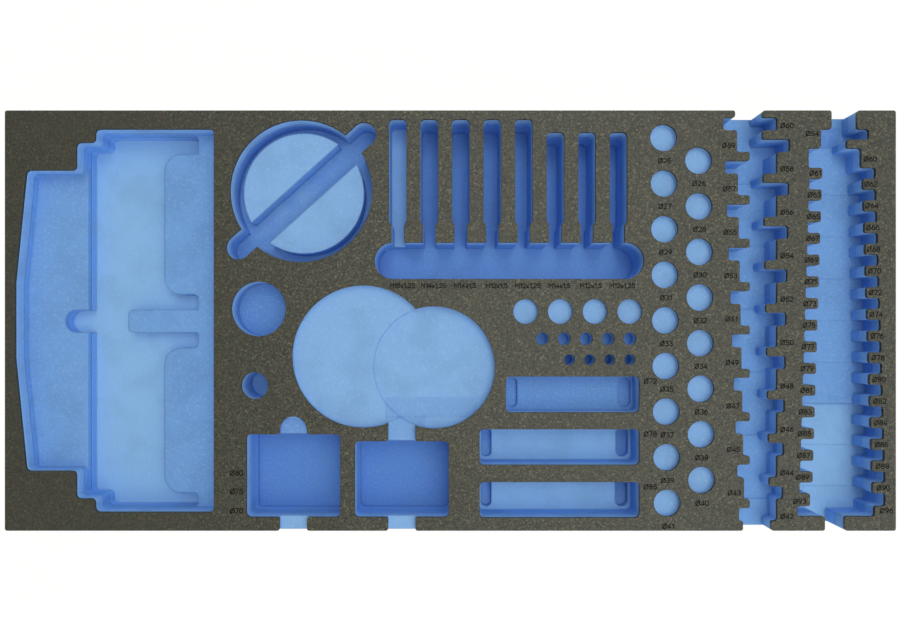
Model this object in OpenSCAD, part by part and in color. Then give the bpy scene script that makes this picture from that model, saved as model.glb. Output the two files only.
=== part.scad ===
// Foam insert for a tool drawer: a dark cover sheet glued on a block of blue foam plies,
// with pockets milled straight down through the cover to flat floors.
// Frame: +X to the right, +Y to the back, +Z up, origin in the middle of the underside.
// Every depth is measured down from the top face of the cover.

/* [Block] */
// Length of the insert, left to right
block_l = 1026; // [1020:1:1060]
// Width of the insert, front to back
block_w = 484; // [480:1:500]
// Radius of the block's four upright corners
block_r = 2.5; // [1:0.5:6]
// Thickness of the dark cover sheet
cover_t = 3; // [2.5:0.5:3.5]
// Thickness of each of the four blue plies
ply_t = 12.5; // [12.2:0.1:13]

/* [Milling] */
// Radius that the cutter leaves in the corners of the pockets
pocket_r = 5; // [3:0.5:8]
// Radius of the tabs between the disc slots, and of the corners where notches and columns open out
tab_r = 2.6; // [1:0.2:3.5]
// Room left around every disc, in its diameter
disc_play = 2; // [1:0.5:3]
// Depth of the shallow finger notches
notch_d = 6.5; // [5:0.5:10]
// Width of the shallow finger notches
notch_w = 31.5; // [26:0.5:36]

/* [Tray on the left] */
// X of the tray's right wall
tray_right = -272.5; // [-280:0.5:-268]
// X of the step between the tray's shelf and its deep floor
tray_step = -431.5; // [-440:0.5:-425]
// Foam left of the tray, at the middle of its left wall
tray_left_rim = 11; // [8:0.5:18]
// X of the step nearest the tray's corners
tray_corner = -409.5; // [-415:0.5:-404]
// Foam behind the tray and in front of it
tray_rim = 21.3; // [16:0.1:26]
// How far the tray's back and front walls step in left of the corner step
corner_in = 15.4; // [9:0.1:25]
// How far they step in again at the shelf
shelf_in = 32; // [20:0.1:45]
// How far the shelf's left wall bulges out
shelf_bulge = 13; // [4:0.5:18]
// Half the straight stretch in the middle of that wall
shelf_flat = 44; // [20:1:80]
// Depth of the shelf on the left and of the ledge on the right
shelf_d = 22; // [19:0.5:26]
// Depth of the tray's deep floor
tray_d = 37.5; // [34:0.5:39]
// Width of the narrow part of the ledge, along the right wall
ledge_w = 28; // [22:0.5:34]
// Width of the two wide parts of the ledge
ledge_wide_w = 68.5; // [60:0.5:76]
// Distance from the tray's back wall to the back wide part
ledge_back_l = 21.7; // [14:0.1:30]
// Distance from the tray's front wall to the front wide part
ledge_front_l = 16.2; // [12:0.1:30]
// Half the gap between the two wide parts
ledge_gap = 32; // [24:0.5:40]
// Radius of the wide parts' corners at the gap
ledge_r = 29; // [10:1:35]
// Radius of the wide parts' corners towards the tray's back and front walls
ledge_end_r = 40; // [10:1:40]
// Radius of the ledge's sharper corners
ledge_tip_r = 2; // [1:0.5:4]
// Width of the tongue of the ledge, and of the finger notch in the shelf
tongue_w = 27; // [22:0.5:32]
// Length of the tongue, measured from the right wall
tongue_l = 111.5; // [100:0.5:125]
// Length of the finger notch in the shelf's edge
shelf_notch_l = 28; // [20:0.5:36]

/* [Round pocket with a bar slot] */
// X of the round pocket's centre
dial_x = -172; // [-174:0.5:-170]
// Foam behind the round pocket
dial_rim = 10.5; // [9:0.5:13]
// Radius of the round pocket
dial_r = 82; // [78:0.5:84]
// Radius of the two raised half discs in it
half_disc_r = 70.5; // [66:0.5:72]
// Depth of the half discs' tops
half_disc_d = 12; // [9:0.5:14]
// Depth of the ring and bar slot around them
dial_d = 31.5; // [30:0.5:36]
// Length of the bar slot between the centres of its round ends
bar_l = 194.5; // [190:0.5:200]
// Width of the bar slot's ends
bar_w = 28; // [24:0.5:32]
// Width of the bar slot between the half discs
bar_gap = 32; // [28:0.5:36]
// Angle of the bar slot to the block's length
bar_angle = 42; // [40:1:45]

/* [Round recesses and holes] */
// X of the large recess
recess_a_x = -100.5; // [-103:0.5:-98]
// Y of the large recess
recess_a_y = -41.5; // [-44:0.5:-39]
// Radius of the large recess
recess_a_r = 82; // [78:0.5:85]
// Depth of the large recess
recess_a_d = 7; // [5:0.5:8]
// X of the smaller recess that overlaps it
recess_b_x = -19; // [-22:0.5:-16]
// Y of the smaller recess
recess_b_y = -54; // [-57:0.5:-51]
// Radius of the smaller recess
recess_b_r = 70.5; // [67:0.5:73]
// Depth of the smaller recess
recess_b_d = 9; // [8.5:0.5:12]
// X of the wide hole
wide_hole_x = -221; // [-224:0.5:-218]
// Y of the wide hole
wide_hole_y = 13.5; // [8:0.5:18]
// Radius of the wide hole
wide_hole_r = 31.5; // [29:0.5:33]
// Depth of the wide hole
wide_hole_d = 25.5; // [22:0.5:26.5]
// X of the narrow hole
narrow_hole_x = -225.5; // [-230:0.5:-220]
// Y of the narrow hole
narrow_hole_y = -75; // [-80:0.5:-70]
// Radius of the narrow hole
narrow_hole_r = 15.5; // [14:0.5:17]
// Depth of the narrow hole
narrow_hole_d = 36; // [33:0.5:39]

/* [Two square pockets at the front] */
// Width of each square pocket
square_w = 108; // [104:0.5:110]
// X of the left square pocket's centre
square_a_x = -181; // [-184:0.5:-180]
// X of the right square pocket's centre
square_b_x = -56; // [-57:0.5:-54]
// Y of both pockets' front walls
square_front = -226.5; // [-228:0.5:-224]
// Length of the left square pocket, front to back
square_a_l = 95.5; // [92:0.5:98]
// Length of the right square pocket, front to back
square_b_l = 87.5; // [84:0.5:90]
// Depth of both square pockets
square_d = 44; // [42:0.5:46]
// How far the round finger notch reaches behind the left square pocket
notch_reach = 20.5; // [18:0.5:24]

/* [Eight pin slots and their trough] */
// Number of pin slots
pin_slots = 8; // [6:1:8]
// X of the first pin slot
pin_x = -60.7; // [-62:0.1:-59]
// Distance between pin slots
pin_pitch = 36.35; // [36:0.05:36.5]
// Width of a pin slot
pin_w = 20.2; // [18:0.2:22]
// Width of the neck between a pin slot and the trough
neck_w = 14.4; // [12:0.2:16]
// Length of the taper from a pin slot to its neck
neck_taper = 4.2; // [2:0.2:8]
// Y of the back ends of the long pin slots
pin_back = 232; // [229:0.5:234]
// Y of the back ends of the short pin slots
pin_back_short = 217; // [212:0.5:222]
// Number of short pin slots, at the right
pin_short = 3; // [1:1:4]
// Y at which a slot starts to narrow to its neck
pin_front = 114.5; // [110:0.5:118]
// Depth of the first pin slot
pin_first_d = 32.5; // [30:0.5:39]
// Depth of the other pin slots and of the trough
pin_d = 44; // [42:0.5:46]
// Y of the trough's centre
trough_y = 69; // [67:0.5:71]
// How far the trough reaches left of the first slot's centre
trough_past_left = 26.5; // [24:0.5:29]
// How far it reaches right of the last slot's centre
trough_past_right = 29.5; // [27:0.5:32]
// Width of the trough
trough_w = 42; // [38:0.5:44]

/* [Rows of small round pockets] */
// X of the last pocket of each row
row_right = 206.8; // [204:0.2:208]
// Number of pockets in the back row
row_a_count = 4; // [2:1:4]
// Radius of the pockets of the back row
row_a_r = 14.3; // [13:0.1:15.5]
// Distance between the pockets of the back row
row_a_pitch = 40; // [37:0.5:41]
// Y of the back row
row_a_y = 10.5; // [9:0.5:13]
// Depth of the back row
row_a_d = 6; // [5:0.5:9]
// Number of pockets in the middle row
row_b_count = 5; // [3:1:5]
// Radius of the pockets of the middle row
row_b_r = 7.3; // [6.5:0.1:8]
// Distance between the pockets of the middle row
row_b_pitch = 25.2; // [23:0.1:26]
// Y of the middle row
row_b_y = -21; // [-22:0.5:-19]
// Depth of the middle row
row_b_d = 17; // [16.5:0.5:24]
// Number of pockets in the front row
row_c_count = 4; // [2:1:4]
// Radius of the pockets of the front row
row_c_r = 6.2; // [5.5:0.1:7]
// Distance between the pockets of the front row
row_c_pitch = 23.2; // [21:0.1:25]
// Y of the front row
row_c_y = -45; // [-46:0.5:-43]
// Depth of the front row
row_c_d = 24; // [20:0.5:26]

/* [Three long pockets] */
// X of the long pockets' right walls
long_right = 217.8; // [216:0.2:220]
// Width of each long pocket, front to back
long_w = 41.2; // [38:0.2:43]
// Y of the first long pocket's centre
long_y = -85; // [-87:0.5:-83]
// Distance between long pockets
long_pitch = 60.8; // [59:0.1:61.5]
// Foam between the smaller recess and the first long pocket
long_first_gap = 12.5; // [8:0.5:16]
// Length of the other two long pockets
long_l = 184; // [180:0.5:188]
// Depth of the first long pocket
long_a_d = 22.5; // [20:0.5:23]
// Depth of the second long pocket
long_b_d = 30.5; // [29:0.5:33]
// Depth of the third long pocket
long_c_d = 32.5; // [29:0.5:36]
// Strip of floor left around the deeper end slots
end_slot_rim = 3; // [2:0.5:5]
// Width of the left end slot
end_slot_left_w = 12.7; // [10:0.1:15]
// Width of the right end slot
end_slot_right_w = 15.2; // [12:0.1:18]
// How much deeper the first long pocket's end slots are than its floor
end_slot_a_d = 4; // [3:0.5:5]
// How much deeper the end slots of the other two are
end_slot_d = 7; // [4:0.5:7]

/* [Seventeen round pockets] */
// Radius of each round pocket
round_r = 15.4; // [14:0.1:16]
// Depth of each round pocket
round_d = 6.5; // [5:0.5:9]
// Distance between the pockets of a column
round_pitch = 52.6; // [51:0.1:53]
// Sideways step from each pocket to the next
round_lean = 0.5; // [0:0.1:0.6]
// Number of pockets in the left column
round_a_count = 9; // [7:1:9]
// X of the left column's first pocket
round_a_x = 245.7; // [244:0.1:247]
// Y of the left column's first pocket
round_a_y = 210.6; // [209:0.1:212]
// Number of pockets in the right column
round_b_count = 8; // [6:1:8]
// X of the right column's first pocket
round_b_x = 285.9; // [284:0.1:287]
// Y of the right column's first pocket
round_b_y = 184.4; // [182:0.1:186]

/* [Middle column of disc slots] */
// Diameter of the largest disc, at the back
mid_first = 60; // [59:1:61]
// Diameter of the smallest disc, at the front
mid_last = 42; // [41:1:43]
// Y of the first slot
mid_y = 226.7; // [225:0.1:228]
// Distance between slots
mid_pitch = 25; // [24.6:0.1:25.1]
// Thickness of a slot
mid_slot_t = 14.7; // [13:0.1:16]
// X of the right ends of the even slots
mid_even_right = 376.5; // [375:0.5:378]
// X of the centres of the odd slots
mid_odd_x = 360.7; // [359:0.1:362]
// X of the tips of the left tabs
mid_left_tip = 344.8; // [343:0.2:347]
// X of the tip of the first right tab, and of the wall at the block's back face
mid_right_tip = 359.8; // [358:0.2:361]
// Sideways step from each right tab's tip to that of the next
mid_tip_lean = 1; // [0:0.1:1]
// X of the left wall at the block's back face
mid_back_left = 328; // [326:0.2:330]
// X of the left wall at the block's front face
mid_front_left = 337.1; // [335:0.1:339]
// X of the right wall at the block's front face
mid_front_right = 369.6; // [368:0.1:371]
// Depth of the first slots
mid_d = 27; // [25.5:0.1:27]
// How much shallower each next group of slots is
mid_step = 1.2; // [0.8:0.1:1.2]

/* [Right column of disc slots] */
// Diameter of the first disc of the even run
right_first = 61; // [60:1:62]
// Diameter of the last disc of the even run
right_last = 90; // [89:1:90]
// Y of the first slot of the run
right_y = 169.8; // [169.5:0.1:170]
// Distance between slots of the run
right_pitch = 12.5; // [12.4:0.05:12.5]
// X of the centres of the even slots
right_even_x = 444.4; // [443:0.2:446]
// X of the centres of the odd slots
right_odd_x = 459.1; // [458:0.1:460]
// How far the smallest disc of the run sinks below the top
sink = 24.6; // [23:0.2:26]
// How much further each next disc sinks
sink_step = 0.11; // [0.08:0.01:0.13]
// Depth of the slots up to the first floor step
right_d = 24.5; // [24:0.1:24.6]
// How much deeper each next group of slots is
right_step = 0.5; // [0.3:0.1:0.5]
// Depth of the first slots that reach the third ply
right_low_d = 31; // [30:0.1:31.5]
// How much deeper each group after that one is
right_low_step = 1; // [0.5:0.1:1.5]
// X of the left wall at the block's back face
right_back_left = 439.1; // [438:0.1:440]
// X of the right wall at the block's back face
right_back_right = 468.8; // [467:0.1:470]
// X of the left wall at the block's front face
right_front_left = 431.4; // [430:0.1:433]
// X of the right wall at the block's front face
right_front_right = 454.4; // [453:0.1:456]

/* [Single slots at the ends of the right column] */
// Diameter of the disc nearest the back
disc_a = 54; // [53:1:55]
// Thickness of its slot
slot_a_t = 12; // [11:0.1:13]
// How far its centre lies left of the odd slots' centres
slot_a_shift = 4.6; // [3.5:0.1:5.5]
// Thickness of the web in front of it
web_a_t = 10; // [9:0.1:11]
// X of that web's tip
web_a_tip = 457; // [456:0.1:458]
// Diameter of the disc in the thick slot
disc_b = 60; // [59:1:61]
// Thickness of the thick slot
slot_b_t = 22.5; // [21.5:0.1:23.5]
// How far its centre lies left of the even slots' centres
slot_b_shift = 1.4; // [0.5:0.1:2.5]
// Diameter of the last disc but one
disc_y = 93; // [92:1:94]
// Thickness of its slot
slot_y_t = 14.8; // [14:0.1:16]
// How far its centre lies left of the odd slots' centres
slot_y_shift = 1.5; // [0.5:0.1:2.5]
// Diameter of the disc nearest the front
disc_z = 96; // [95:1:97]
// Thickness of its slot
slot_z_t = 11.8; // [11:0.1:12.6]

/* [Hidden] */

$fn = 96;
// How far a cutter runs past the faces it leaves through
over = 1;
// Straight bends of less than this many degrees are left as they are
least_turn = 0.8;
// Points of an outline that lie closer than this count as one
least_gap = 0.01;
// Longest step along a rounded corner
corner_step = 3;

// Depth at which each layer starts, and where the last one ends
upper_from = cover_t;
second_from = upper_from + ply_t;
third_from = second_from + ply_t;
base_from = third_from + ply_t;
top_z = base_from + ply_t;

// Places hold for a block of 1026 by 484; in a longer or wider one they keep their share of it
spread_x = block_l / 1026;
spread_y = block_w / 484;

dark = [0.31, 0.31, 0.27];
light_blue = [0.50, 0.68, 0.86];
mid_blue = [0.40, 0.57, 0.79];

// Lines along which the two disc columns part the cover and the upper ply
mid_line = spread_x * (mid_left_tip + mid_right_tip) / 2;
right_line = spread_x * (right_back_left + right_front_right) / 2;

function unit(v) = v / norm(v);
function short_way(a) = a > 180 ? a - 360 : a < -180 ? a + 360 : a;
function bearing(v) = atan2(v[1], v[0]);
function flat(p) = [p[0], p[1]];

// The points of one rounded corner at p, between its neighbours a and b
function corner(a, p, b, r) =
    let (u = unit(a - p), v = unit(b - p), bend = 180 - acos(max(-1, min(1, u * v))))
    bend < least_turn ? []
    : let (
        half = (180 - bend) / 2,
        reach = min(r / tan(half), 0.49 * min(norm(a - p), norm(b - p))),
        fit_r = reach * tan(half),
        centre = p + unit(u + v) * fit_r / sin(half),
        from = bearing(p + u * reach - centre),
        sweep = short_way(bearing(p + v * reach - centre) - from),
        steps = max(3, ceil(fit_r / corner_step))
    )
    [for (i = [0:steps]) centre + fit_r * [cos(from + sweep * i / steps), sin(from + sweep * i / steps)]];

// The points that lie apart from the point before them
function distinct(points) =
    let (n = len(points))
    [for (i = [0:n - 1]) if (norm(flat(points[i]) - flat(points[(i + n - 1) % n])) > least_gap) points[i]];

// A closed outline with rounded corners; a point may carry its own radius as a third number
function rounded(points, r) =
    let (kept = distinct(points), n = len(kept))
    [for (i = [0:n - 1])
        each corner(
            flat(kept[(i + n - 1) % n]), flat(kept[i]), flat(kept[(i + 1) % n]),
            len(kept[i]) > 2 ? kept[i][2] : r
        )];

// A rectangle between two x and two y, with rounded corners
function box_outline(x0, x1, y0, y1, r) = rounded([[x0, y0], [x1, y0], [x1, y1], [x0, y1]], r);

// An outline from rows stacked front to back, each [y of its back edge, left x, right x]
function stacked(rows, front) =
    let (n = len(rows), y_low = function (i) i == n - 1 ? front : rows[i + 1][0])
    concat(
        [for (i = [0:n - 1]) each [[rows[i][1], rows[i][0]], [rows[i][1], y_low(i)]]],
        [for (i = [n - 1:-1:0]) each [[rows[i][2], y_low(i)], [rows[i][2], rows[i][0]]]]
    );

// Where cutters end that leave through the block's back and front faces
past_back = block_w / 2 + over;
past_front = -block_w / 2 - over;

// An outline that leaves through a face widens there, just outside the face, to round off the foam's corners
out_back = block_w / 2 + least_gap;
out_front = -block_w / 2 - least_gap;
flare = 3 * tab_r;
function flared(y, left, right) = [y, left - flare, right + flare];

// Tray on the left
right_x = spread_x * tray_right;
step_x = spread_x * tray_step;
corner_x = spread_x * tray_corner;
left_x = tray_left_rim - block_l / 2;
bulge_x = left_x + shelf_bulge;
tray_half = block_w / 2 - tray_rim;
tray_mid_half = tray_half - corner_in;
shelf_half = tray_mid_half - shelf_in;
tray_outline = rounded([
    [corner_x, tray_half], [right_x, tray_half],
    [right_x, -tray_half], [corner_x, -tray_half],
    [corner_x, -tray_mid_half], [step_x, -tray_mid_half],
    [step_x, -shelf_half], [bulge_x, -shelf_half],
    [left_x, -shelf_flat], [left_x, shelf_flat],
    [bulge_x, shelf_half], [step_x, shelf_half],
    [step_x, tray_mid_half], [corner_x, tray_mid_half]
], pocket_r);

ledge_x = right_x - ledge_w;
ledge_wide_x = right_x - ledge_wide_w;
ledge_back = tray_half - ledge_back_l;
ledge_front = -tray_half + ledge_front_l;
tongue_x = right_x - tongue_l;
deep_outline = rounded([
    [corner_x, tray_half], [ledge_x, tray_half],
    [ledge_x, ledge_back, ledge_tip_r], [ledge_wide_x, ledge_back, ledge_end_r],
    [ledge_wide_x, ledge_gap, ledge_r], [ledge_x, ledge_gap],
    [ledge_x, tongue_w / 2, ledge_tip_r], [tongue_x, tongue_w / 2],
    [tongue_x, -tongue_w / 2], [ledge_x, -tongue_w / 2, ledge_tip_r],
    [ledge_x, -ledge_gap], [ledge_wide_x, -ledge_gap, ledge_r],
    [ledge_wide_x, ledge_front, ledge_end_r], [ledge_x, ledge_front],
    [ledge_x, -tray_half], [corner_x, -tray_half],
    [corner_x, -tray_mid_half], [step_x, -tray_mid_half],
    [step_x, tray_mid_half], [corner_x, tray_mid_half]
], pocket_r);

// Middle column: each disc's slot, then the web to the next
mid_slots = mid_first - mid_last + 1;
function mid_disc(i) = mid_first - i;
function even(n) = n % 2 == 0;
function mid_at(i) = spread_y * (mid_y - mid_pitch * i);
function mid_ends(i) =
    let (w = mid_disc(i) + disc_play, right = spread_x * mid_even_right, centre = spread_x * mid_odd_x)
    even(mid_disc(i)) ? [right - w, right] : [centre - w / 2, centre + w / 2];
function mid_tip(i) = spread_x * (mid_right_tip + mid_tip_lean * i / 2);
function mid_web(i) =
    even(mid_disc(i)) ? [mid_ends(i + 1)[0], mid_tip(i)] : [spread_x * mid_left_tip, mid_ends(i + 1)[1]];
mid_rows = concat(
    [
        flared(past_back, spread_x * mid_back_left, mid_tip(0)),
        [out_back, spread_x * mid_back_left, mid_tip(0)]
    ],
    [for (i = [0:mid_slots - 1]) each concat(
        [[mid_at(i) + mid_slot_t / 2, mid_ends(i)[0], mid_ends(i)[1]]],
        i == mid_slots - 1 ? [] : [[mid_at(i) - mid_slot_t / 2, mid_web(i)[0], mid_web(i)[1]]]
    )],
    [
        [mid_at(mid_slots - 1) - mid_slot_t / 2, spread_x * mid_front_left, spread_x * mid_front_right],
        flared(out_front, spread_x * mid_front_left, spread_x * mid_front_right)
    ]
);
mid_outline = rounded(stacked(mid_rows, past_front), tab_r);

// Floors of the middle column: one for each group of slots, stepping up towards the front
mid_group = 3;
mid_groups = ceil(mid_slots / mid_group);
function mid_floor(g) = mid_d - mid_step * g;
function mid_group_back(g) = g == 0 ? past_back : mid_at(mid_group * g - 0.5);
function mid_group_front(g) = g == mid_groups - 1 ? past_front : mid_group_back(g + 1);

// Right column: two slots at the back, a close run of slots, two slots at the front
function sunk_chord(d, h) = 2 * sqrt(h * (d + disc_play - h));
function right_width(d) = sunk_chord(d, sink + sink_step * (d - right_first));
function right_ends(d, x) = [spread_x * x - right_width(d) / 2, spread_x * x + right_width(d) / 2];
right_run = right_last - right_first + 1;
function right_at(j) = spread_y * (right_y - right_pitch * (j - 0.5));
right_run_back = right_at(0);
right_run_front = right_at(right_run);
slot_b_back = right_run_back + slot_b_t;
web_a_back = slot_b_back + web_a_t;
slot_z_back = right_run_front - slot_y_t;
slot_a_ends = right_ends(disc_a, right_odd_x - slot_a_shift);
right_rows = concat(
    [
        flared(past_back, spread_x * right_back_left, spread_x * right_back_right),
        [out_back, spread_x * right_back_left, spread_x * right_back_right],
        concat([web_a_back + slot_a_t], slot_a_ends),
        [web_a_back, slot_a_ends[0], spread_x * web_a_tip],
        concat([slot_b_back], right_ends(disc_b, right_even_x - slot_b_shift))
    ],
    [for (j = [0:right_run - 1])
        let (d = right_first + j)
        concat([right_at(j)], right_ends(d, even(d) ? right_even_x : right_odd_x))],
    [
        concat([right_run_front], right_ends(disc_y, right_odd_x - slot_y_shift)),
        concat([slot_z_back], right_ends(disc_z, right_even_x)),
        [slot_z_back - slot_z_t, spread_x * right_front_left, spread_x * right_front_right],
        flared(out_front, spread_x * right_front_left, spread_x * right_front_right)
    ]
);
right_outline = rounded(stacked(right_rows, past_front), tab_r);

// Floors of the right column: the first group of four ends two slots into the run
right_group = 4;
right_group_start = 2;
// Group of the first floor in the third ply
right_low_from = 6;
right_groups = ceil((right_run + right_group_start) / right_group);
function right_floor(g) =
    g < right_low_from ? right_d + right_step * g : right_low_d + right_low_step * (g - right_low_from);
function right_group_back(g) =
    g == 0 ? past_back
    : max(right_run_front, right_at(right_group * g - right_group_start));
function right_group_front(g) = g == right_groups ? past_front : right_group_back(g + 1);

// Cuts its outline down from the top face to a floor, if that floor lies below the layer's top
module pocket(depth) {
    if (depth > $layer_from) translate([0, 0, top_z - depth]) linear_extrude(depth + over) children();
}

// Puts a pocket at the share of the block that its place has in the measured one
module at(x, y) {
    translate([spread_x * x, spread_y * y]) children();
}

module obround(length, width) {
    square([length, width], center = true);
    for (side = [-1, 1]) translate([side * length / 2, 0]) circle(r = width / 2);
}

module band(back, front) {
    translate([-block_l, front]) square([2 * block_l, back - front]);
}

module tray() {
    pocket(shelf_d) polygon(tray_outline);
    pocket(tray_d) {
        polygon(deep_outline);
        translate([step_x, 0]) obround(2 * (shelf_notch_l - tongue_w / 2), tongue_w);
    }
}

dial_y = block_w / 2 - dial_rim - dial_r;

// The layers above the ring's floor are cut to the ring's wall, as the half discs there are own pieces
module dial() {
    pocket(dial_d) translate([spread_x * dial_x, dial_y]) {
        difference() {
            circle(r = dial_r);
            if (dial_d < $layer_to) circle(r = half_disc_r);
        }
        rotate(bar_angle) {
            square([2 * half_disc_r + over, bar_gap], center = true);
            obround(bar_l, bar_w);
        }
    }
}

module round_recesses() {
    pocket(recess_a_d) at(recess_a_x, recess_a_y) circle(r = recess_a_r);
    pocket(recess_b_d) at(recess_b_x, recess_b_y) circle(r = recess_b_r);
    pocket(wide_hole_d) at(wide_hole_x, wide_hole_y) circle(r = wide_hole_r);
    pocket(narrow_hole_d) at(narrow_hole_x, narrow_hole_y) circle(r = narrow_hole_r);
}

// Rounds off the foam's corner at x, y; the foam lies towards the side and ahead, each 1 or -1
module eased(x, y, side, ahead) {
    translate([x, y]) scale([side, ahead]) polygon([
        [-over, -over], [tab_r, -over],
        for (a = [0:30:90]) tab_r * [1 - sin(a), 1 - cos(a)],
        [-over, tab_r]
    ]);
}

module square_pocket(x, front, back) {
    left = x - square_w / 2;
    pocket(square_d) polygon(box_outline(left, left + square_w, front, back, pocket_r));
    pocket(notch_d) {
        translate([x - notch_w / 2, past_front]) square([notch_w, front - past_front + over]);
        for (side = [-1, 1]) {
            eased(x + side * notch_w / 2, -block_w / 2, side, 1);
            eased(x + side * notch_w / 2, front, side, -1);
            eased(x + side * notch_w / 2, back, side, 1);
        }
    }
}

// A round finger notch lies behind the left pocket, a straight channel to the recess behind the right one
module square_pockets() {
    a_x = spread_x * square_a_x;
    b_x = spread_x * square_b_x;
    front = spread_y * square_front;
    a_back = spread_y * (square_front + square_a_l);
    b_back = spread_y * (square_front + square_b_l);
    notch_y = a_back + notch_reach - notch_w / 2;
    square_pocket(a_x, front, a_back);
    square_pocket(b_x, front, b_back);
    pocket(notch_d) {
        translate([a_x, notch_y]) circle(r = notch_w / 2);
        translate([a_x - notch_w / 2, a_back - over]) square([notch_w, notch_y - a_back + over]);
        translate([b_x - notch_w / 2, b_back - over]) square([notch_w, spread_y * recess_b_y - b_back]);
    }
}

module pin_slot(x, back) {
    shoulder = spread_y * pin_front;
    foot = spread_y * trough_y;
    polygon(rounded([
        [x - pin_w / 2, back], [x + pin_w / 2, back],
        [x + pin_w / 2, shoulder], [x + neck_w / 2, shoulder - neck_taper],
        [x + neck_w / 2, foot], [x - neck_w / 2, foot],
        [x - neck_w / 2, shoulder - neck_taper], [x - pin_w / 2, shoulder]
    ], pocket_r));
}

module pin_slots_and_trough() {
    for (i = [0:pin_slots - 1])
        pocket(i == 0 ? pin_first_d : pin_d)
            pin_slot(
                spread_x * (pin_x + pin_pitch * i),
                spread_y * (i < pin_slots - pin_short ? pin_back : pin_back_short)
            );
    trough_left = spread_x * pin_x - trough_past_left;
    trough_right = spread_x * (pin_x + pin_pitch * (pin_slots - 1)) + trough_past_right;
    pocket(pin_d) translate([(trough_left + trough_right) / 2, spread_y * trough_y])
        obround(trough_right - trough_left - trough_w, trough_w);
}

module pocket_row(count, pitch, y, r, depth) {
    for (i = [0:count - 1]) pocket(depth) at(row_right - pitch * i, y) circle(r = r);
}

module pocket_rows() {
    pocket_row(row_a_count, row_a_pitch, row_a_y, row_a_r, row_a_d);
    pocket_row(row_b_count, row_b_pitch, row_b_y, row_b_r, row_b_d);
    pocket_row(row_c_count, row_c_pitch, row_c_y, row_c_r, row_c_d);
}

module end_slot(x, y, width, depth) {
    pocket(depth) translate([x, y]) rotate(90) obround(long_w - 2 * end_slot_rim - width, width);
}

// The nth long pocket from the back
module long_pocket(n, left, depth, slot_depth) {
    y = spread_y * (long_y - long_pitch * n);
    right = spread_x * long_right;
    pocket(depth) polygon(box_outline(left, right, y - long_w / 2, y + long_w / 2, pocket_r));
    end_slot(left + end_slot_rim + end_slot_left_w / 2, y, end_slot_left_w, slot_depth);
    end_slot(right - end_slot_rim - end_slot_right_w / 2, y, end_slot_right_w, slot_depth);
}

module long_pockets() {
    left = spread_x * (long_right - long_l);
    recess_side = spread_x * recess_b_x + recess_b_r;
    long_pocket(0, recess_side + long_first_gap, long_a_d, long_a_d + end_slot_a_d);
    long_pocket(1, left, long_b_d, long_b_d + end_slot_d);
    long_pocket(2, left, long_c_d, long_c_d + end_slot_d);
}

module round_column(x, y, count) {
    for (i = [0:count - 1])
        pocket(round_d) at(x + round_lean * i, y - round_pitch * i) circle(r = round_r);
}

module round_pockets() {
    round_column(round_a_x, round_a_y, round_a_count);
    round_column(round_b_x, round_b_y, round_b_count);
}

// A column is cut in one piece where the layer lies above all its floors
module middle_column() {
    if (mid_floor(mid_groups - 1) >= $layer_to) pocket(mid_d) polygon(mid_outline);
    else for (g = [0:mid_groups - 1])
        pocket(mid_floor(g)) intersection() {
            polygon(mid_outline);
            band(mid_group_back(g), mid_group_front(g));
        }
}

module right_column() {
    if (right_d >= $layer_to) pocket(right_d) polygon(right_outline);
    else for (g = [0:right_groups])
        pocket(right_floor(g)) intersection() {
            polygon(right_outline);
            band(right_group_back(g), right_group_front(g));
        }
}

// One layer of the block between two depths, with every pocket that reaches it
module layer(from, to, left, right) {
    $layer_from = from;
    $layer_to = to;
    difference() {
        translate([0, 0, top_z - to]) linear_extrude(to - from) intersection() {
            polygon(box_outline(-block_l / 2, block_l / 2, -block_w / 2, block_w / 2, block_r));
            translate([left, -block_w]) square([right - left, 2 * block_w]);
        }
        if (left < right_x) {
            tray();
            dial();
            round_recesses();
            square_pockets();
            pin_slots_and_trough();
            pocket_rows();
            long_pockets();
            round_pockets();
        }
        if (left <= mid_line && right >= mid_line) middle_column();
        if (right >= right_line) right_column();
    }
}

module half_discs(from, to) {
    high = top_z - max(from, half_disc_d);
    low = top_z - to;
    difference() {
        translate([spread_x * dial_x, dial_y, low]) cylinder(r = half_disc_r, h = high - low);
        translate([spread_x * dial_x, dial_y, low - over]) rotate(bar_angle)
            linear_extrude(high - low + 2 * over) square([2 * dial_r, bar_gap], center = true);
    }
}

module cover_main() {
    color(dark) layer(0, upper_from, -block_l, mid_line);
}
module cover_middle_strip() {
    color(dark) layer(0, upper_from, mid_line, right_line);
}
module cover_right_strip() {
    color(dark) layer(0, upper_from, right_line, block_l);
}
module upper_ply_main() {
    color(light_blue) layer(upper_from, second_from, -block_l, mid_line);
}
module upper_ply_middle_strip() {
    color(light_blue) layer(upper_from, second_from, mid_line, right_line);
}
module upper_ply_right_strip() {
    color(light_blue) layer(upper_from, second_from, right_line, block_l);
}
module upper_ply_half_discs() {
    color(light_blue) half_discs(upper_from, second_from);
}
module second_ply() {
    color(mid_blue) layer(second_from, third_from, -block_l, block_l);
}
module second_ply_half_discs() {
    color(mid_blue) half_discs(second_from, third_from);
}
module third_ply() {
    color(light_blue) layer(third_from, base_from, -block_l, block_l);
}
module base_ply() {
    color(mid_blue) layer(base_from, top_z, -block_l, block_l);
}

cover_main();
cover_middle_strip();
cover_right_strip();
upper_ply_main();
upper_ply_middle_strip();
upper_ply_right_strip();
upper_ply_half_discs();
second_ply();
second_ply_half_discs();
third_ply();
base_ply();
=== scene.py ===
"""A milled foam insert for a tool drawer, seen from straight above on white."""

import math

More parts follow.
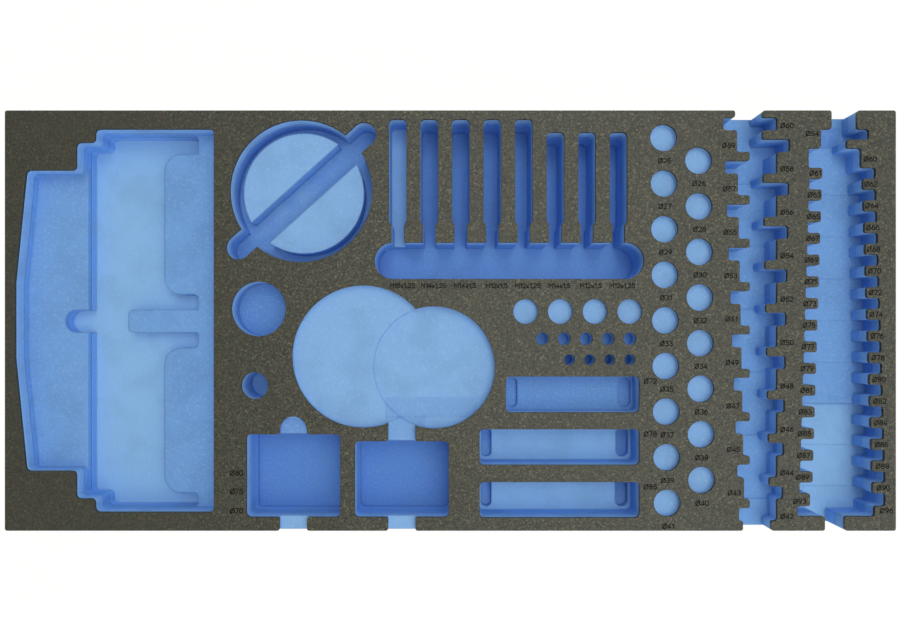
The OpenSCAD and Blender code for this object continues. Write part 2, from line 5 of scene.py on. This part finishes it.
import bpy
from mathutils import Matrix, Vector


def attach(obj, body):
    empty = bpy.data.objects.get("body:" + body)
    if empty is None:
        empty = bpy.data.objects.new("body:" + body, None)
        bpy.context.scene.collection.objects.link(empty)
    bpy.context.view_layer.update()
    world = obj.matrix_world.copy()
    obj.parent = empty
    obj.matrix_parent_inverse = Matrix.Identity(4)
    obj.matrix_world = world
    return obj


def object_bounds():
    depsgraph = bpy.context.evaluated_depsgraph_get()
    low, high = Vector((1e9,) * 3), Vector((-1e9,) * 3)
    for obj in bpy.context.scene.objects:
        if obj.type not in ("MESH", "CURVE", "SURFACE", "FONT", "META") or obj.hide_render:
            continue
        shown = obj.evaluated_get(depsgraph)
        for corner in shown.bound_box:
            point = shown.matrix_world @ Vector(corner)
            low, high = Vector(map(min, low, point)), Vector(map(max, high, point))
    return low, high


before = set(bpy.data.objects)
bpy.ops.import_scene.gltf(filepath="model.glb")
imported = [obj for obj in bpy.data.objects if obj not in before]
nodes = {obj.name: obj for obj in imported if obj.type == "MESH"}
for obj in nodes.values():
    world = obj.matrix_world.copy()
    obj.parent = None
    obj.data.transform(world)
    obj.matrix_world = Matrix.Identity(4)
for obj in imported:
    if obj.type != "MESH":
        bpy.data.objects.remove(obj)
cad_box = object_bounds()
scene = bpy.context.scene


# Camera: straight above the insert, 615 mm over its cover and a little in front of its middle.
# The picture's centre lies 16 pixels behind the point under the lens, hence the shift.
camera = bpy.data.objects.new("camera", bpy.data.cameras.new("camera"))
scene.collection.objects.link(camera)
camera.location = (0, -0.0189, 0.668)
camera.data.sensor_width = 36
camera.data.lens = 21.365
camera.data.shift_x = -0.0004
camera.data.shift_y = 0.0178
camera.data.clip_start = 0.02
scene.camera = camera


# Base ply: the lowest sheet of blue polyethylene foam, 12.5 mm thick, the floor of the deepest pockets.
# It is glued under the next sheet; the cutter leaves its cells open, so the floors look dusty and mottled.
def paint(red, green, blue):
    """A colour as it is read off a screen, 0 to 255, in the linear values that a shader takes."""
    return tuple(
        v / 12.92 if v <= 0.04045 else ((v + 0.055) / 1.055) ** 2.4
        for v in (red / 255, green / 255, blue / 255)
    ) + (1.0,)


class Value:
    """An output socket in a shader; arithmetic on it adds Math nodes."""

    def __init__(self, shading, socket):
        self.shading = shading
        self.socket = socket

    def maths(self, operation, first, second):
        return self.shading.node("ShaderNodeMath", {"operation": operation}, {0: first, 1: second})

    def __add__(self, other):
        return self.maths("ADD", self, other)

    def __radd__(self, other):
        return self.maths("ADD", other, self)

    def __sub__(self, other):
        return self.maths("SUBTRACT", self, other)

    def __rsub__(self, other):
        return self.maths("SUBTRACT", other, self)

    def __mul__(self, other):
        return self.maths("MULTIPLY", self, other)

    def __rmul__(self, other):
        return self.maths("MULTIPLY", other, self)


class Shading:
    """The nodes of one material or of the room, all added by one method."""

    def __init__(self, tree):
        self.tree = tree
        tree.nodes.clear()

    def put(self, socket, value):
        if isinstance(value, Value):
            self.tree.links.new(value.socket, socket)
        else:
            socket.default_value = value

    def node(self, kind, settings=None, inputs=None, out=0):
        """Adds a node; a socket is given by its name, or by its place among those in use."""
        made = self.tree.nodes.new(kind)
        for name, value in (settings or {}).items():
            setattr(made, name, value)

        def find(sockets, key):
            shown = [s for s in sockets if s.enabled]
            return shown[key] if isinstance(key, int) else next(s for s in shown if s.name == key)

        for key, value in (inputs or {}).items():
            self.put(find(made.inputs, key), value)
        return Value(self, find(made.outputs, out) if len(made.outputs) else None)

    def above(self, value, low, high):
        """0 where value is below low, 1 above high, and smooth between."""
        return self.node(
            "ShaderNodeMapRange",
            {"interpolation_type": "SMOOTHSTEP"},
            {"Value": value, "From Min": low, "From Max": high},
        )

    def axes(self, vector):
        return [self.node("ShaderNodeSeparateXYZ", inputs={0: vector}, out=axis) for axis in "XYZ"]


class Finish(Shading):
    """A material on one Principled shader."""

    def __init__(self, name):
        self.material = bpy.data.materials.new(name)
        self.material.use_nodes = True
        super().__init__(self.material.node_tree)
        self.shader = self.node("ShaderNodeBsdfPrincipled")
        self.node("ShaderNodeOutputMaterial", inputs={"Surface": self.shader})
        self.place = self.node("ShaderNodeTexCoord", out="Object")

    def set(self, **inputs):
        for name, value in inputs.items():
            self.put(self.shader.socket.node.inputs[name.replace("_", " ")], value)

    def patch(self, left, right, front, back, edge=0.002):
        """1 inside an upright block of the part, 0 outside it, with a soft edge."""
        x, y, _ = self.axes(self.place)
        across = self.above(x, left - edge, left) * (1 - self.above(x, right, right + edge))
        return across * self.above(y, front - edge, front) * (1 - self.above(y, back, back + edge))

    def noise(self, per_metre, detail, roughness, shift=0.0):
        moved = self.node(
            "ShaderNodeVectorMath", {"operation": "ADD"}, {0: self.place, 1: (shift, shift, shift)}
        )
        return self.node(
            "ShaderNodeTexNoise",
            inputs={"Vector": moved, "Scale": per_metre, "Detail": detail, "Roughness": roughness},
        )

    def mix(self, first, second, factor):
        return self.node("ShaderNodeMix", {"data_type": "RGBA"}, {"Factor": factor, "A": first, "B": second})

    def bump(self, height, strength, distance, corner):
        """A bumpy face whose edges look rounded off by the radius corner."""
        soft = self.node("ShaderNodeBevel", {"samples": 6}, {"Radius": corner})
        heights = {"Height": height, "Strength": strength, "Distance": distance, "Normal": soft}
        return self.node("ShaderNodeBump", inputs=heights)


LIT_RIM = paint(150, 196, 240)
# The deeper blue is painted in patches: as painted shade in some hollows, as a plain tint in others.
DEEPER_BLUE_AND_PAINTED_SHADE = paint(78, 126, 200)
PALE_DUST = paint(186, 208, 232)
SHADE = 0.82


def blue_foam(name, floor, wall, shift, grain, deeper):
    """Closed-cell foam: pale on its floors, and on its walls a richer blue as painted bounce light from the
    blue hollows, painted lighter near the top as a rim highlight.

    shift moves its clouds and cells, so that no two sheets have the same ones. grain is how much
    the cells and the dust show. deeper takes the finish and returns where the blue is painted deeper: as
    painted shade in some hollows, as a plain tint in others."""
    finish = Finish(name)
    up = finish.axes(finish.node("ShaderNodeNewGeometry", out="Normal"))[2]
    height = finish.axes(finish.place)[2]
    clouds = finish.noise(24, 3.0, 0.55, shift)
    cells = finish.noise(620, 2.0, 0.6, shift)
    dust = finish.noise(330, 3.0, 0.7, shift + 3)
    # Painted highlight: the walls are painted paler towards LIT_RIM the higher they stand, from 34 mm above
    # the table up to the cover.
    painted_rim_highlight = finish.above(height, 0.034, 0.0505) * 0.55
    milled = finish.above(up, 0.5, 0.9)
    clouded = finish.above(clouds, 0.42, 0.68) * 0.55
    pitted = finish.above(cells, 0.46, 0.70) * 0.40 * grain
    dusted = finish.above(dust, 0.50, 0.76) * 0.34 * grain
    darker = tuple(v * SHADE for v in floor[:3]) + (1.0,)
    # Painted bounce light: the walls take the richer wall blue, standing in for the blue light thrown
    # between the walls of a hollow; the floors take the paler one.
    colour = finish.mix(finish.mix(wall, LIT_RIM, painted_rim_highlight), floor, milled)
    colour = finish.mix(colour, DEEPER_BLUE_AND_PAINTED_SHADE, deeper(finish))
    colour = finish.mix(colour, darker, clouded)
    colour = finish.mix(colour, darker, pitted)
    finish.set(
        Base_Color=finish.mix(colour, PALE_DUST, dusted),
        Roughness=0.80 + cells * 0.18,
        Normal=finish.bump(cells + dust * 0.7, strength=0.35, distance=0.0005, corner=0.003),
        Specular_IOR_Level=0.25,
    )
    return finish.material


def dress(node, material):
    """Gives a CAD node one material on all of its slots."""
    mesh = nodes[node].data
    for i in range(len(mesh.materials)):
        mesh.materials[i] = material


def under_squares(finish):
    """Paints the floors of both square pockets a deeper blue."""
    return finish.patch(left=-0.240, right=0.000, front=-0.235, back=-0.120) * 0.55


base_foam = blue_foam(
    "base_foam",
    floor=paint(106, 154, 217),
    wall=paint(108, 162, 238),
    shift=0.0,
    grain=0.55,
    deeper=under_squares,
)
dress("base_ply", base_foam)


# Third ply: a sheet of the paler foam, glued between the base and the second ply.
# The deep floors of the tray, of two long pockets and of the right column's front are milled in it.
def under_ring_and_ends(finish):
    """Paints the floor a deeper blue under the ring slot, in the narrow hole and in the ends of the long
    pockets.
    """
    ring = finish.patch(left=-0.264, right=-0.080, front=-0.098, back=0.236)
    long_pockets = finish.patch(left=0.022, right=0.250, front=-0.232, back=-0.050)
    height = finish.axes(finish.place)[2]
    lowest = 1 - finish.above(height, 0.0175, 0.0190)
    return ring * 0.70 + long_pockets * lowest * 0.70


third_foam = blue_foam(
    "third_foam",
    floor=paint(136, 183, 228),
    wall=paint(117, 171, 238),
    shift=7.0,
    grain=0.6,
    deeper=under_ring_and_ends,
)
dress("third_ply", third_foam)


# Second ply: a sheet of the deeper blue foam, whole from end to end, with the two half discs
# that the ring slot cuts free of it. The floors of the shelf, the ledge, the first long pocket,
# the middle column and most of the right one are milled in it.
def bluer_floors_and_painted_shade(finish):
    """Paints the wide hole and the first long pocket a deeper blue, and the right column's first slot as
    painted shade at the column's back end.
    """
    hole = finish.patch(left=-0.256, right=-0.186, front=-0.022, back=0.048)
    long_pocket = finish.patch(left=0.040, right=0.236, front=-0.115, back=-0.055)
    slot = finish.patch(left=0.405, right=0.465, front=0.2075, back=0.230)
    return hole * 0.55 + long_pocket * 0.30 + slot * 0.60


deep_foam = blue_foam(
    "deep_foam",
    floor=paint(112, 160, 216),
    wall=paint(108, 164, 236),
    shift=13.0,
    grain=0.85,
    deeper=bluer_floors_and_painted_shade,
)
dress("second_ply", deep_foam)
dress("second_ply_half_discs", deep_foam)


# Upper ply: the paler sheet right under the cover, in three pieces because both columns cut through it.
# The shallow recesses and round pockets end in it. Two thin half discs of it lie inside the ring slot.
def painted_shade_in_notches(finish):
    """Painted shade: the floors are painted darker in the left back notch, the finger channel and the front
    of the smaller recess.
    """
    notch = finish.patch(left=-0.205, right=-0.160, front=-0.132, back=-0.114)
    channel = finish.patch(left=-0.075, right=-0.030, front=-0.160, back=-0.112)
    recess = finish.patch(left=-0.075, right=0.030, front=-0.112, back=-0.090)
    return notch * 0.57 + channel * 0.28 + recess * 0.25


light_foam = blue_foam(
    "light_foam",
    floor=paint(132, 177, 226),
    wall=paint(123, 176, 238),
    shift=21.0,
    grain=0.95,
    deeper=painted_shade_in_notches,
)
for name in ("upper_ply_main", "upper_ply_middle_strip", "upper_ply_right_strip", "upper_ply_half_discs"):
    dress(name, light_foam)


# Cover: a 3 mm skin of dark reclaimed foam, pressed from coloured crumbs and glued on the block.
# It is milled through with the pockets, so its cut edges are bare; its face has a low sheen.
skin = Finish("dark_cover")
crumbs = skin.noise(480, 3.0, 0.7)
smears = skin.noise(70, 2.0, 0.5, shift=2.0)
flecks = skin.noise(390, 2.0, 0.6, shift=5.0)
tint = skin.node(
    "ShaderNodeTexVoronoi",
    {"feature": "F1"},
    {"Vector": skin.place, "Scale": 640.0, "Randomness": 1.0},
    out="Color",
)
hue = skin.node("ShaderNodeSeparateColor", inputs={0: tint}, out="Red")
# Painted sheen: the speckle's contrast and the pale flecks are painted weaker at the left end and full from
# a little left of the middle, following the sheen. The flecks themselves are pale crumbs of the cover.
painted_sheen_sparkle = 0.35 + skin.above(skin.axes(skin.place)[0], -0.45, -0.10) * 0.65
speckle = 0.5 + (skin.above(crumbs, 0.41, 0.60) - 0.5) * painted_sheen_sparkle
green_crumbs = skin.above(hue, 0.84, 0.90) * 0.6
brown_crumbs = skin.above(1 - hue, 0.88, 0.93) * 0.6
smeared = skin.above(smears, 0.45, 0.62) * 0.3
flecked = skin.above(flecks, 0.57, 0.68) * painted_sheen_sparkle * 0.6
colour = skin.mix(paint(8, 9, 5), paint(68, 69, 55), speckle)
colour = skin.mix(colour, paint(44, 54, 24), green_crumbs)
colour = skin.mix(colour, paint(84, 56, 38), brown_crumbs)
colour = skin.mix(colour, paint(40, 38, 29), smeared)
skin.set(
    Base_Color=skin.mix(colour, paint(120, 118, 94), flecked),
    Roughness=0.44 + crumbs * 0.14,
    Normal=skin.bump(crumbs + flecks * 0.6, strength=0.7, distance=0.0007, corner=0.0008),
    Specular_IOR_Level=0.70,
    Specular_Tint=(0.98, 1.0, 0.91, 1),
)
for name in ("cover_main", "cover_middle_strip", "cover_right_strip"):
    dress(name, skin.material)


# Sizes printed beside the round pockets: the diameter of the part that each one holds.
# They are fine strokes of black ink on the cover, drawn with a round-nosed pen and a little worn.
COVER_TOP = cad_box[1].z
INK_FILM = 0.00005
PEN = 0.00100
CAPITAL = 0.0053
LETTER_GAP = 0.24

ink = Finish("printed_ink")
worn = ink.noise(700, 3.0, 0.7, shift=9.0)
ink.set(
    Base_Color=ink.mix(paint(9, 9, 9), paint(48, 46, 40), ink.above(worn, 0.58, 0.70) * 0.6),
    Roughness=0.70 + worn * 0.2,
    Normal=ink.bump(worn, strength=0.3, distance=0.0003, corner=0.0001),
    Specular_IOR_Level=0.12,
)


def bow(x, y, across, up, start, end, steps=12):
    """Points along an arc of an ellipse, between two angles in degrees."""
    angles = [math.radians(start + (end - start) * i / steps) for i in range(steps + 1)]
    return [(x + across * math.cos(a), y + up * math.sin(a)) for a in angles]


# Each sign: its width and its strokes, in shares of the height of a capital
ZERO = bow(0.33, 0.67, 0.33, 0.33, 0, 180) + bow(0.33, 0.33, 0.33, 0.33, 180, 360) + [(0.66, 0.67)]
SIGNS = {
    "0": (0.66, [ZERO]),
    "1": (0.36, [[(0.02, 0.76), (0.34, 1), (0.34, 0)]]),
    "2": (0.66, [bow(0.33, 0.69, 0.31, 0.31, 165, -40) + [(0.0, 0), (0.66, 0)]]),
    "3": (0.64, [bow(0.31, 0.76, 0.27, 0.24, 150, -90, 9) + bow(0.31, 0.26, 0.33, 0.26, 90, -155)]),
    "4": (0.68, [[(0.5, 0), (0.5, 1), (0, 0.27), (0.68, 0.27)]]),
    "5": (0.64, [[(0.6, 1), (0.12, 1), (0.07, 0.55)] + bow(0.31, 0.32, 0.33, 0.32, 125, -150)]),
    "6": (0.66, [bow(0.33, 0.31, 0.33, 0.31, 0, 360, 20), [(0.03, 0.42), (0.16, 0.74), (0.46, 1)]]),
    "7": (0.62, [[(0, 1), (0.62, 1), (0.22, 0)]]),
    "8": (0.66, [bow(0.33, 0.76, 0.27, 0.24, 0, 360, 18), bow(0.33, 0.27, 0.33, 0.27, 0, 360, 20)]),
    "9": (0.66, [bow(0.33, 0.69, 0.33, 0.31, 0, 360, 20), [(0.63, 0.58), (0.5, 0.26), (0.2, 0)]]),
    "Ø": (0.96, [bow(0.48, 0.5, 0.42, 0.5, 0, 360, 24), [(0.0, -0.06), (0.96, 1.06)]]),
    "M": (0.84, [[(0, 0), (0, 1), (0.42, 0.36), (0.84, 1), (0.84, 0)]]),
    "x": (0.48, [[(0, 0), (0.48, 0.62)], [(0, 0.62), (0.48, 0)]]),
    ",": (0.1, [[(0.1, 0.08), (0.0, -0.2)]]),
}
SAME_POINT = 1e-7
MITRE_LIMIT = 0.45
CAP_STEPS = 8


def ribbon(points, half, corners, faces):
    """Adds one pen stroke of half that width, with mitred bends and round ends."""
    points = [p for i, p in enumerate(points) if i == 0 or math.dist(p, points[i - 1]) > SAME_POINT]
    closed = math.dist(points[0], points[-1]) < SAME_POINT
    if closed:
        points = points[:-1]
    count = len(points)

    def heading(i, j):
        a, b = points[i % count], points[j % count]
        length = math.dist(a, b)
        return ((b[0] - a[0]) / length, (b[1] - a[1]) / length)

    first = len(corners)
    for i, (x, y) in enumerate(points):
        before = heading(i - 1, i) if closed or i else heading(0, 1)
        after = heading(i, i + 1) if closed or i < count - 1 else before
        aside = (-before[1] - after[1], before[0] + after[0])
        size = math.hypot(*aside)
        aside = (aside[0] / size, aside[1] / size)
        reach = half / max(MITRE_LIMIT, -before[1] * aside[0] + before[0] * aside[1])
        corners.append((x + aside[0] * reach, y + aside[1] * reach))
        corners.append((x - aside[0] * reach, y - aside[1] * reach))
    for i in range(count if closed else count - 1):
        a, b = first + 2 * i, first + 2 * ((i + 1) % count)
        faces.append((a, a + 1, b + 1, b))
    if closed:
        return
    for end, towards in ((0, heading(0, 1)), (count - 1, heading(count - 2, count - 1))):
        angle = math.atan2(towards[1], towards[0]) + (math.pi if end == 0 else 0)
        x, y = points[end]
        cap = len(corners)
        for k in range(CAP_STEPS + 1):
            turn = angle - math.pi / 2 + math.pi * k / CAP_STEPS
            corners.append((x + half * math.cos(turn), y + half * math.sin(turn)))
        faces.append(tuple(range(cap, cap + CAP_STEPS + 1)))


def printed(name, words, capital):
    """One piece of print: words is a list of (text, x, y of its middle), in metres."""
    corners, faces = [], []
    for text, x, y in words:
        long = sum(SIGNS[c][0] for c in text) + LETTER_GAP * (len(text) - 1)
        across = x - long * capital / 2
        for c in text:
            width, strokes = SIGNS[c]
            for stroke in strokes:
                placed = [(across + u * capital, y + (v - 0.5) * capital) for u, v in stroke]
                ribbon(placed, PEN / 2, corners, faces)
            across += (width + LETTER_GAP) * capital
    mesh = bpy.data.meshes.new(name)
    mesh.from_pydata([(x, y, COVER_TOP + INK_FILM) for x, y in corners], [], faces)
    mesh.materials.append(ink.material)
    piece = bpy.data.objects.new(name, mesh)
    scene.collection.objects.link(piece)
    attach(piece, "root")


COLUMN_PITCH = 0.0526
COLUMN_LEAN = 0.0005
BELOW_POCKET = 0.0265
words = []
for first_size, count, x, y in ((25, 9, 0.2465, 0.2106), (26, 8, 0.2862, 0.1844)):
    for i in range(count):
        words.append((f"Ø{first_size + 2 * i}", x + COLUMN_LEAN * i, y - COLUMN_PITCH * i - BELOW_POCKET))
printed("printed_round_pocket_sizes", words, CAPITAL)


# Sizes printed along the middle column: even discs on the strip at its right, odd ones at its left.
# Same ink and pen as the others, each level with its own slot.
MIDDLE_FIRST = 60
MIDDLE_SLOTS = 19
MIDDLE_BACK = 0.2267
MIDDLE_PITCH = 0.025
MIDDLE_LEFT_PRINT = 0.3199
MIDDLE_LEFT_LEAN = 0.0004
MIDDLE_RIGHT_PRINT = 0.3875
RIGHT_PRINT_DROP = 0.002
words = []
for i in range(MIDDLE_SLOTS):
    y = MIDDLE_BACK - MIDDLE_PITCH * i
    if i % 2:
        words.append((f"Ø{MIDDLE_FIRST - i}", MIDDLE_LEFT_PRINT + MIDDLE_LEFT_LEAN * i, y))
    else:
        words.append((f"Ø{MIDDLE_FIRST - i}", MIDDLE_RIGHT_PRINT, y - RIGHT_PRINT_DROP))
printed("printed_middle_column_sizes", words, CAPITAL)


# Sizes printed along the right column: in its run of thirty, odd discs at the left and even ones
# at the right. The slots are twice as close here, so the print fills each tab.
RUN_FIRST = 61
RUN_SLOTS = 30
RUN_BACK = 0.1698
RUN_PITCH = 0.0125
RUN_LEFT_PRINT = 0.4200
RUN_LEFT_LEAN = 0.00052
RUN_RIGHT_PRINT = 0.4836
RUN_RIGHT_LEAN = 0.00051
words = [
    ("Ø54", 0.4167, 0.2153),
    ("Ø60", 0.4831, 0.1861),
    ("Ø93", 0.4021, -0.2081),
    ("Ø96", 0.5020, -0.2188),
]
for i in range(RUN_SLOTS):
    x = RUN_RIGHT_PRINT + RUN_RIGHT_LEAN * i if i % 2 else RUN_LEFT_PRINT - RUN_LEFT_LEAN * i
    words.append((f"Ø{RUN_FIRST + i}", x, RUN_BACK - RUN_PITCH * i))
printed("printed_right_column_sizes", words, CAPITAL)


# Sizes printed beside the long pockets and beside the left square pocket.
# They are plain diameters again, one for each long pocket and three for the square one.
words = [
    ("Ø72", 0.2301, -0.0695),
    ("Ø78", 0.2301, -0.1306),
    ("Ø85", 0.2301, -0.1914),
    ("Ø80", -0.2464, -0.1754),
    ("Ø75", -0.2464, -0.1966),
    ("Ø70", -0.2464, -0.2191),
]
printed("printed_pocket_sizes", words, CAPITAL)


# Thread sizes printed in a row in front of the trough, one for each pin slot.
# They are set a little smaller than the diameters.
PIN_PITCH = 0.0362
FIRST_PIN_PRINT = -0.0554
THREAD_ROW = 0.0402
THREAD_CAPITAL = 0.00495
threads = ("M15x1,25", "M14x1,25", "M14x1,5", "M12x1,5", "M12x1,25", "M14x1,5", "M12x1,5", "M12x1,25")
words = [(text, FIRST_PIN_PRINT + PIN_PITCH * i, THREAD_ROW) for i, text in enumerate(threads)]
printed("printed_thread_sizes", words, THREAD_CAPITAL)


# The table: a plain white sheet under the insert, which stays white to the camera and takes its shadow.
# It isn't part of the object.
WHITE_SHARE = 0.92
TABLE_HALF = 6
white = bpy.data.materials.new("white_sheet")
white.use_nodes = True
sheet = Shading(white.node_tree)
paper = sheet.node(
    "ShaderNodeBsdfPrincipled",
    inputs={"Base Color": (0.88, 0.88, 0.87, 1), "Roughness": 0.9, "Specular IOR Level": 0.2},
)
glow = sheet.node("ShaderNodeEmission", inputs={"Color": (1.0, 1.0, 0.985, 1), "Strength": 1.03})
camera_ray, glossy_ray, clear_ray = [
    sheet.node("ShaderNodeLightPath", out=f"Is {ray} Ray") for ray in ("Camera", "Glossy", "Transmission")
]
seen = (camera_ray + glossy_ray + clear_ray) * WHITE_SHARE
lit = sheet.node("ShaderNodeMixShader", inputs={0: seen, 1: paper, 2: glow})
sheet.node("ShaderNodeOutputMaterial", inputs={"Surface": lit})

mesh = bpy.data.meshes.new("table")
table_corners = [(x * TABLE_HALF, y * TABLE_HALF, 0) for x, y in ((-1, -1), (1, -1), (1, 1), (-1, 1))]
mesh.from_pydata(table_corners, [], [(0, 1, 2, 3)])
mesh.materials.append(white)
table = bpy.data.objects.new("table", mesh)
scene.collection.objects.link(table)
table.location.z = -0.0002


# Light: four soft lamps high up, at the right, overhead, behind and in front, in a white room that is
# brighter on the right and low in front. The cover's sheen is strongest right of the middle.
for name, place, size, power in (
    ("lamp_right", (2.2, 0.2, 4.0), 2.6, 18),
    ("lamp_overhead", (0.2, 0.0, 4.0), 1.4, 12),
    ("lamp_behind", (0.2, 2.0, 4.0), 2.0, 34),
    ("lamp_front", (1.6, -1.8, 4.0), 2.4, 26),
):
    lamp = bpy.data.objects.new(name, bpy.data.lights.new(name, "AREA"))
    lamp.data.shape = "SQUARE"
    lamp.data.size = size
    lamp.data.energy = power
    lamp.location = place
    lamp.rotation_euler = (-lamp.location).to_track_quat("-Z", "Y").to_euler()
    lamp.visible_camera = False
    scene.collection.objects.link(lamp)

scene.world = bpy.data.worlds.new("room")
scene.world.use_nodes = True
room = Shading(scene.world.node_tree)
x, y, z = room.axes(room.node("ShaderNodeTexCoord", out="Generated"))
right_side = room.above(x, -0.95, 0.55) * (1 - room.above(x, 0.55, 1.0) * 0.35)
low_front = room.above(0 - y, 0.35, 0.75) * (1 - room.above(z, 0.30, 0.65))
strength = 0.25 + right_side * 0.47 + low_front * 0.75
walls = room.node("ShaderNodeBackground", inputs={"Strength": strength, "Color": (1.0, 1.0, 1.0, 1)})
room.node("ShaderNodeOutputWorld", inputs={"Surface": walls})

scene.view_settings.view_transform = "Standard"
